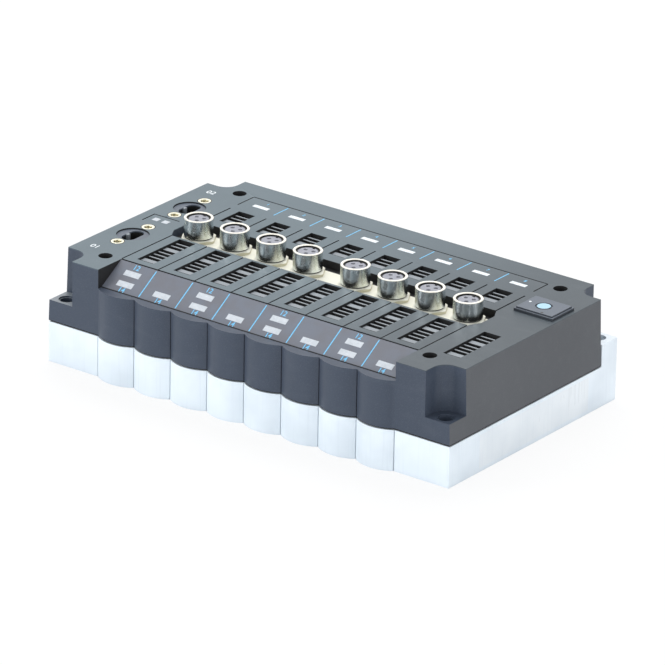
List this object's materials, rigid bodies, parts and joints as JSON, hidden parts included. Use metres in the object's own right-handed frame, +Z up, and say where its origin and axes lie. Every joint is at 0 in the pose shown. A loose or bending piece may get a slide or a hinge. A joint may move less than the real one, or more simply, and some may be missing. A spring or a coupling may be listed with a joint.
{
  "type": "pneumatic valve island",
  "caption": "Valve island of valve slices between end plates, with an electronics cover, round sensor sockets, oval cable sockets and threaded air ports.",
  "frame": {"origin": "centre of the footprint on the mounting surface", "axes": "+X along the row of slices towards the interface cap, +Y to the rear face with the work ports, +Z up away from the mounting surface"},
  "size_m": [0.1514, 0.0882, 0.0404],
  "materials": {
    "base_aluminium": "satin cast and machined, off-white",
    "spool_aluminium": "turned",
    "brass": "turned",
    "spring_steel": "wire",
    "armature_steel": "ground",
    "seal_rubber": "matte",
    "screw_steel": "zinc plated",
    "coil_plastic": "moulded",
    "cover_plastic": "fine spark texture, blue-grey",
    "lamp_plastic": "milky",
    "carrier_plastic": "cream",
    "socket_nickel": "nickel plated, turned",
    "insert_plastic": "moulded",
    "board_laminate": "lacquered",
    "cable_socket_plastic": "moulded",
    "cap_plastic": "moulded, blue-grey"
  },
  "bodies": {
    "island": {"armature_springs": "spring_steel", "bore_plugs": "brass", "bus_socket": "cable_socket_plastic", "circuit_board": "board_laminate", "connector_carrier": "carrier_plastic", "contact_inserts": "insert_plastic", "cover": "cover_plastic", "cover_screws": "screw_steel", "cover_seal": "seal_rubber", "end_plate_left": "base_aluminium", "end_plate_right": "base_aluminium", "front_lamp_windows": "lamp_plastic", "interface_cap": "cap_plastic", "pilot_solenoids": "coil_plastic", "power_socket": "cable_socket_plastic", "return_spring_2": "spring_steel", "return_spring_4": "spring_steel", "return_spring_6": "spring_steel", "return_spring_8": "spring_steel", "sensor_socket_1": "socket_nickel", "sensor_socket_2": "socket_nickel", "sensor_socket_3": "socket_nickel", "sensor_socket_4": "socket_nickel", "sensor_socket_5": "socket_nickel", "sensor_socket_6": "socket_nickel", "sensor_socket_7": "socket_nickel", "sensor_socket_8": "socket_nickel", "slice_seals": "seal_rubber", "threaded_inserts": "brass", "tie_screws": "screw_steel", "top_lamp_windows": "lamp_plastic", "valve_slice_1": "base_aluminium", "valve_slice_2": "base_aluminium", "valve_slice_3": "base_aluminium", "valve_slice_4": "base_aluminium", "valve_slice_5": "base_aluminium", "valve_slice_6": "base_aluminium", "valve_slice_7": "base_aluminium", "valve_slice_8": "base_aluminium"},
    "spool_1": {"spool_1": "spool_aluminium"},
    "spool_2": {"spool_2": "spool_aluminium"},
    "spool_3": {"spool_3": "spool_aluminium"},
    "spool_4": {"spool_4": "spool_aluminium"},
    "spool_5": {"spool_5": "spool_aluminium"},
    "spool_6": {"spool_6": "spool_aluminium"},
    "spool_7": {"spool_7": "spool_aluminium"},
    "spool_8": {"spool_8": "spool_aluminium"},
    "armature_12_1": {"armature_12_1": "armature_steel"},
    "armature_12_3": {"armature_12_3": "armature_steel"},
    "armature_12_5": {"armature_12_5": "armature_steel"},
    "armature_12_7": {"armature_12_7": "armature_steel"},
    "armature_14_1": {"armature_14_1": "armature_steel"},
    "armature_14_2": {"armature_14_2": "armature_steel"},
    "armature_14_3": {"armature_14_3": "armature_steel"},
    "armature_14_4": {"armature_14_4": "armature_steel"},
    "armature_14_5": {"armature_14_5": "armature_steel"},
    "armature_14_6": {"armature_14_6": "armature_steel"},
    "armature_14_7": {"armature_14_7": "armature_steel"},
    "armature_14_8": {"armature_14_8": "armature_steel"}
  },
  "joints": [
    {"name": "spool_1_shift", "type": "slide", "parent": "island", "child": "spool_1", "axis": [0, 1, 0], "range_m": [0, 0.00375]},
    {"name": "spool_2_shift", "type": "slide", "parent": "island", "child": "spool_2", "axis": [0, 1, 0], "range_m": [0, 0.00375], "stiffness_N_per_m": 500, "deforming": ["return_spring_2"]},
    {"name": "spool_3_shift", "type": "slide", "parent": "island", "child": "spool_3", "axis": [0, 1, 0], "range_m": [0, 0.00375]},
    {"name": "spool_4_shift", "type": "slide", "parent": "island", "child": "spool_4", "axis": [0, 1, 0], "range_m": [0, 0.00375], "stiffness_N_per_m": 500, "deforming": ["return_spring_4"]},
    {"name": "spool_5_shift", "type": "slide", "parent": "island", "child": "spool_5", "axis": [0, 1, 0], "range_m": [0, 0.00375]},
    {"name": "spool_6_shift", "type": "slide", "parent": "island", "child": "spool_6", "axis": [0, 1, 0], "range_m": [0, 0.00375], "stiffness_N_per_m": 500, "deforming": ["return_spring_6"]},
    {"name": "spool_7_shift", "type": "slide", "parent": "island", "child": "spool_7", "axis": [0, 1, 0], "range_m": [0, 0.00375]},
    {"name": "spool_8_shift", "type": "slide", "parent": "island", "child": "spool_8", "axis": [0, 1, 0], "range_m": [0, 0.00375], "stiffness_N_per_m": 500, "deforming": ["return_spring_8"]},
    {"name": "armature_12_1_lift", "type": "slide", "parent": "island", "child": "armature_12_1", "axis": [0, 0, 1], "range_m": [0, 0.0006], "stiffness_N_per_m": 300, "deforming": ["armature_springs"]},
    {"name": "armature_12_3_lift", "type": "slide", "parent": "island", "child": "armature_12_3", "axis": [0, 0, 1], "range_m": [0, 0.0006], "stiffness_N_per_m": 300, "deforming": ["armature_springs"]},
    {"name": "armature_12_5_lift", "type": "slide", "parent": "island", "child": "armature_12_5", "axis": [0, 0, 1], "range_m": [0, 0.0006], "stiffness_N_per_m": 300, "deforming": ["armature_springs"]},
    {"name": "armature_12_7_lift", "type": "slide", "parent": "island", "child": "armature_12_7", "axis": [0, 0, 1], "range_m": [0, 0.0006], "stiffness_N_per_m": 300, "deforming": ["armature_springs"]},
    {"name": "armature_14_1_lift", "type": "slide", "parent": "island", "child": "armature_14_1", "axis": [0, 0, 1], "range_m": [0, 0.0006], "stiffness_N_per_m": 300, "deforming": ["armature_springs"]},
    {"name": "armature_14_2_lift", "type": "slide", "parent": "island", "child": "armature_14_2", "axis": [0, 0, 1], "range_m": [0, 0.0006], "stiffness_N_per_m": 300, "deforming": ["armature_springs"]},
    {"name": "armature_14_3_lift", "type": "slide", "parent": "island", "child": "armature_14_3", "axis": [0, 0, 1], "range_m": [0, 0.0006], "stiffness_N_per_m": 300, "deforming": ["armature_springs"]},
    {"name": "armature_14_4_lift", "type": "slide", "parent": "island", "child": "armature_14_4", "axis": [0, 0, 1], "range_m": [0, 0.0006], "stiffness_N_per_m": 300, "deforming": ["armature_springs"]},
    {"name": "armature_14_5_lift", "type": "slide", "parent": "island", "child": "armature_14_5", "axis": [0, 0, 1], "range_m": [0, 0.0006], "stiffness_N_per_m": 300, "deforming": ["armature_springs"]},
    {"name": "armature_14_6_lift", "type": "slide", "parent": "island", "child": "armature_14_6", "axis": [0, 0, 1], "range_m": [0, 0.0006], "stiffness_N_per_m": 300, "deforming": ["armature_springs"]},
    {"name": "armature_14_7_lift", "type": "slide", "parent": "island", "child": "armature_14_7", "axis": [0, 0, 1], "range_m": [0, 0.0006], "stiffness_N_per_m": 300, "deforming": ["armature_springs"]},
    {"name": "armature_14_8_lift", "type": "slide", "parent": "island", "child": "armature_14_8", "axis": [0, 0, 1], "range_m": [0, 0.0006], "stiffness_N_per_m": 300, "deforming": ["armature_springs"]}
  ]
}
